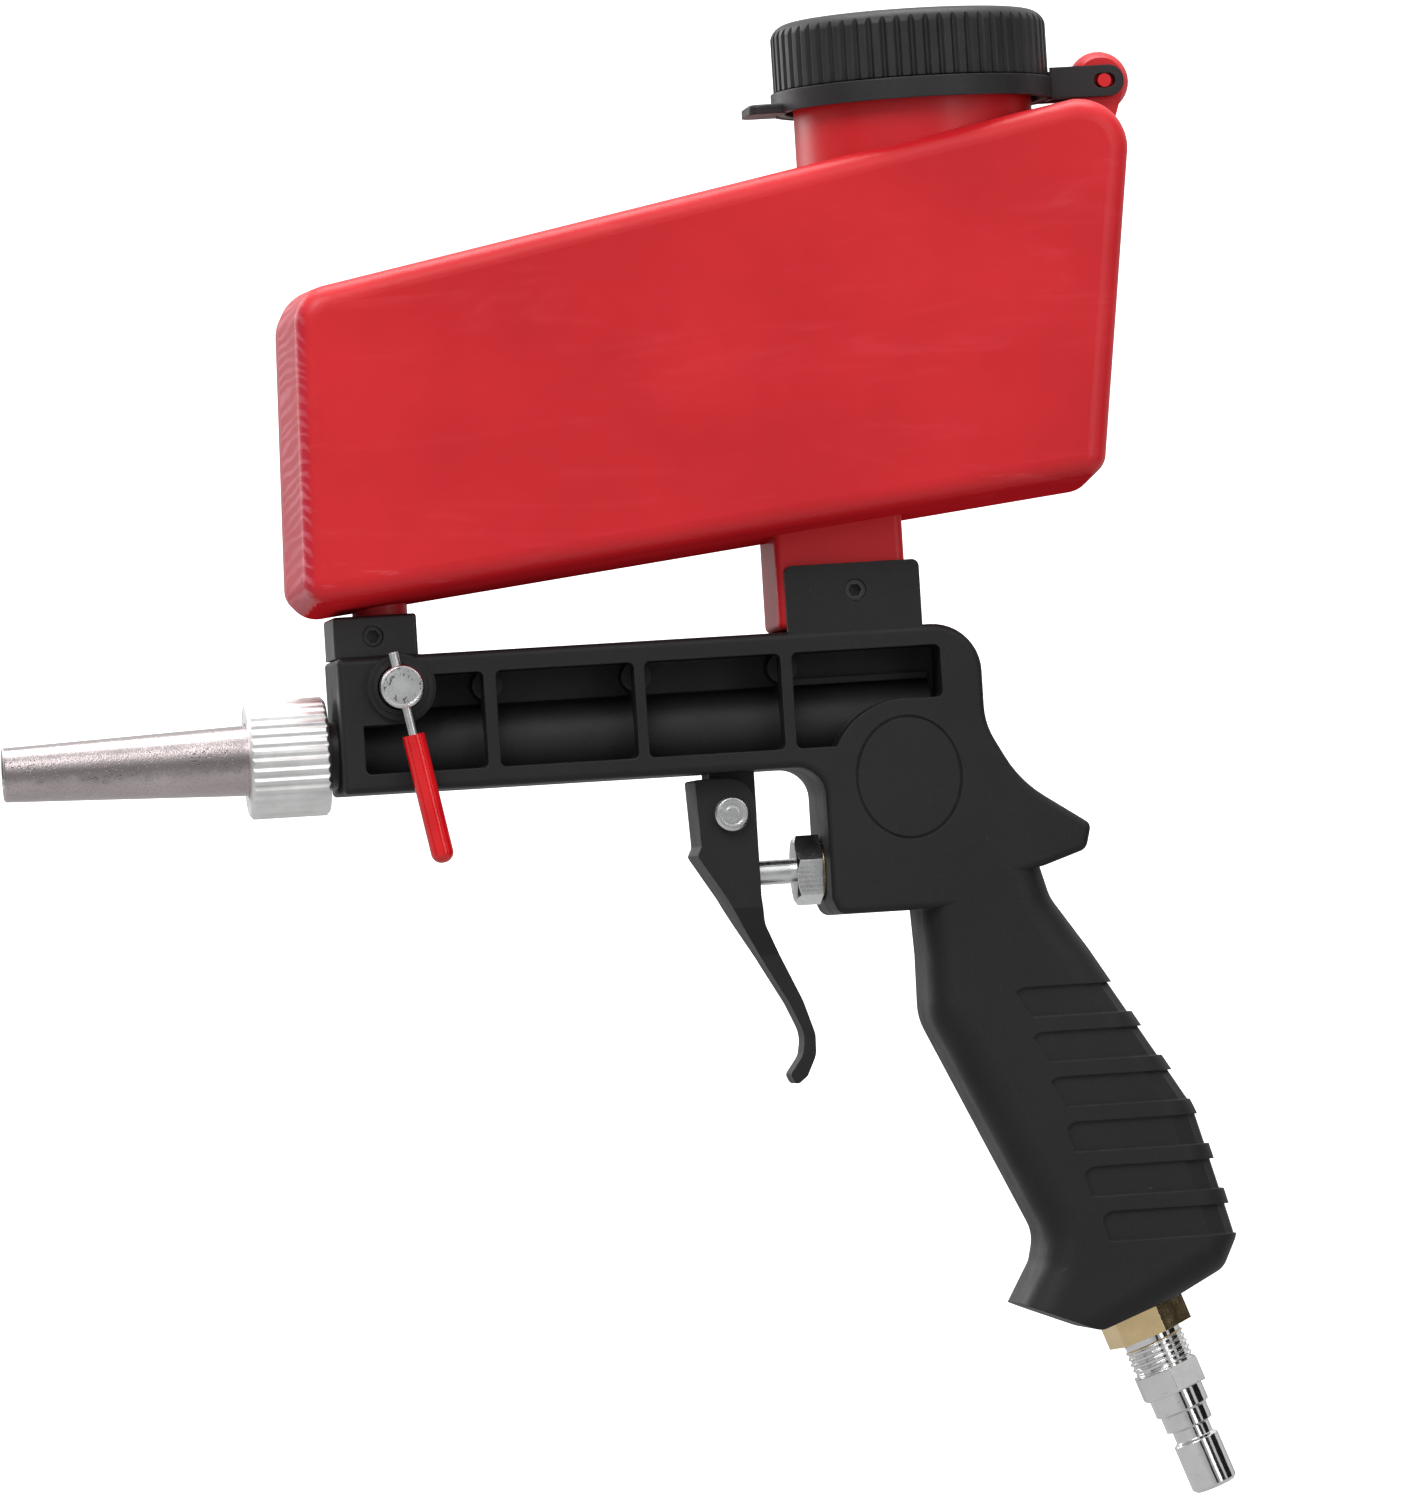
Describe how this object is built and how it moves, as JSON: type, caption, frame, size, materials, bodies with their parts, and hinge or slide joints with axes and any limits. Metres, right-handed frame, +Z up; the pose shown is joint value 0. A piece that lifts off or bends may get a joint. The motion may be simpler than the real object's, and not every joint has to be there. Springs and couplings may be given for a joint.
{
  "type": "abrasive blasting gun",
  "caption": "Hand-held gravity-feed abrasive blasting gun: pistol grip, trigger air valve, top media hopper with hinged cap, media shut-off lever and tapered nozzle.",
  "frame": {"origin": "centre of the nozzle's mouth", "axes": "the nozzle points along -X and the barrel runs back along +X; +Z up, hopper on top; -Y is the gun's left side, where the media lever is"},
  "size_m": [0.266, 0.0626, 0.3313],
  "materials": {
    "body_plastic": "moulded, fine matt texture",
    "hopper_plastic": "blow-moulded, satin with soft flow marks",
    "cap_plastic": "moulded, satin",
    "nozzle_steel": "sintered, dull",
    "knurled_aluminium": "turned and ridged, bright",
    "coated_metal": "black coated",
    "zinc_steel": "bright zinc",
    "chrome_steel": "polished",
    "brass": "machined",
    "pipe_aluminium": "drawn tube",
    "seal_rubber": "matt",
    "lever_vinyl": "dipped, glossy"
  },
  "bodies": {
    "gun_body": {"left_body_shell": "body_plastic", "right_body_shell": "body_plastic", "feed_block": "coated_metal", "front_set_screw": "coated_metal", "nozzle_seal": "seal_rubber", "air_jet": "brass", "air_tube": "pipe_aluminium", "air_elbow": "brass", "air_riser": "pipe_aluminium", "valve_body": "brass", "gland_nut": "zinc_steel", "stem_packing": "seal_rubber", "valve_end_plug": "brass", "valve_spring": "zinc_steel", "inlet_pipe": "pipe_aluminium", "inlet_bushing": "brass", "inlet_plug": "chrome_steel", "hopper": "hopper_plastic", "rear_foot_screw": "coated_metal", "rear_foot_nut": "zinc_steel", "trigger_pin": "zinc_steel", "trigger_pin_nut": "zinc_steel", "body_screw_1": "coated_metal", "body_screw_2": "coated_metal", "body_screw_3": "coated_metal", "body_screw_4": "coated_metal", "body_screw_5": "coated_metal", "body_screw_6": "coated_metal", "body_screw_7": "coated_metal", "body_screw_8": "coated_metal", "body_screw_9": "coated_metal"},
    "nozzle_body": {"nozzle": "nozzle_steel"},
    "nut_body": {"nozzle_nut": "knurled_aluminium"},
    "media_lever": {"valve_spindle": "zinc_steel", "spindle_seal_left": "seal_rubber", "spindle_seal_right": "seal_rubber", "spindle_clip": "zinc_steel", "lever_rod": "zinc_steel", "lever_sleeve": "lever_vinyl"},
    "trigger_body": {"trigger": "body_plastic"},
    "stem_body": {"valve_stem": "zinc_steel", "poppet_seal": "seal_rubber"},
    "ring_body": {"cap_ring": "cap_plastic"},
    "cap_body": {"filler_cap": "cap_plastic", "cap_liner": "seal_rubber"}
  },
  "joints": [
    {"name": "nozzle_travel", "type": "slide", "parent": "gun_body", "child": "nozzle_body", "axis": [-1, 0, 0], "range_m": [0, 0.01]},
    {"name": "nut_turn", "type": "hinge", "parent": "nozzle_body", "child": "nut_body", "pos_m": [0.0626, 0, 0], "axis": [-1, 0, 0], "range_deg": [0, 1801]},
    {"name": "media_valve_turn", "type": "hinge", "parent": "gun_body", "child": "media_lever", "pos_m": [0.0871, 0, 0.0137], "axis": [0, -1, 0], "range_deg": [-10, 80]},
    {"name": "trigger_pull", "type": "hinge", "parent": "gun_body", "child": "trigger_body", "pos_m": [0.1592, 0, -0.0183], "axis": [0, -1, 0], "range_deg": [0, 15]},
    {"name": "stem_slide", "type": "slide", "parent": "gun_body", "child": "stem_body", "axis": [1, 0, 0], "range_m": [0, 0.0035], "stiffness_N_per_m": 2000, "springref_m": -0.0027, "deforming": ["valve_spring"]},
    {"name": "cap_swing", "type": "hinge", "parent": "gun_body", "child": "ring_body", "pos_m": [0.2532, 0, 0.1393], "axis": [0, 1, 0], "range_deg": [0, 118]},
    {"name": "cap_turn", "type": "hinge", "parent": "ring_body", "child": "cap_body", "pos_m": [0.2108, 0, 0.145], "axis": [0, 0, 1], "continuous": true}
  ],
  "couplings": [
    {"joint": "nut_turn", "follows": "nozzle_travel", "rad_per_m": 3141.6},
    {"joint": "trigger_pull", "follows": "stem_slide", "rad_per_m": 74.6}
  ]
}
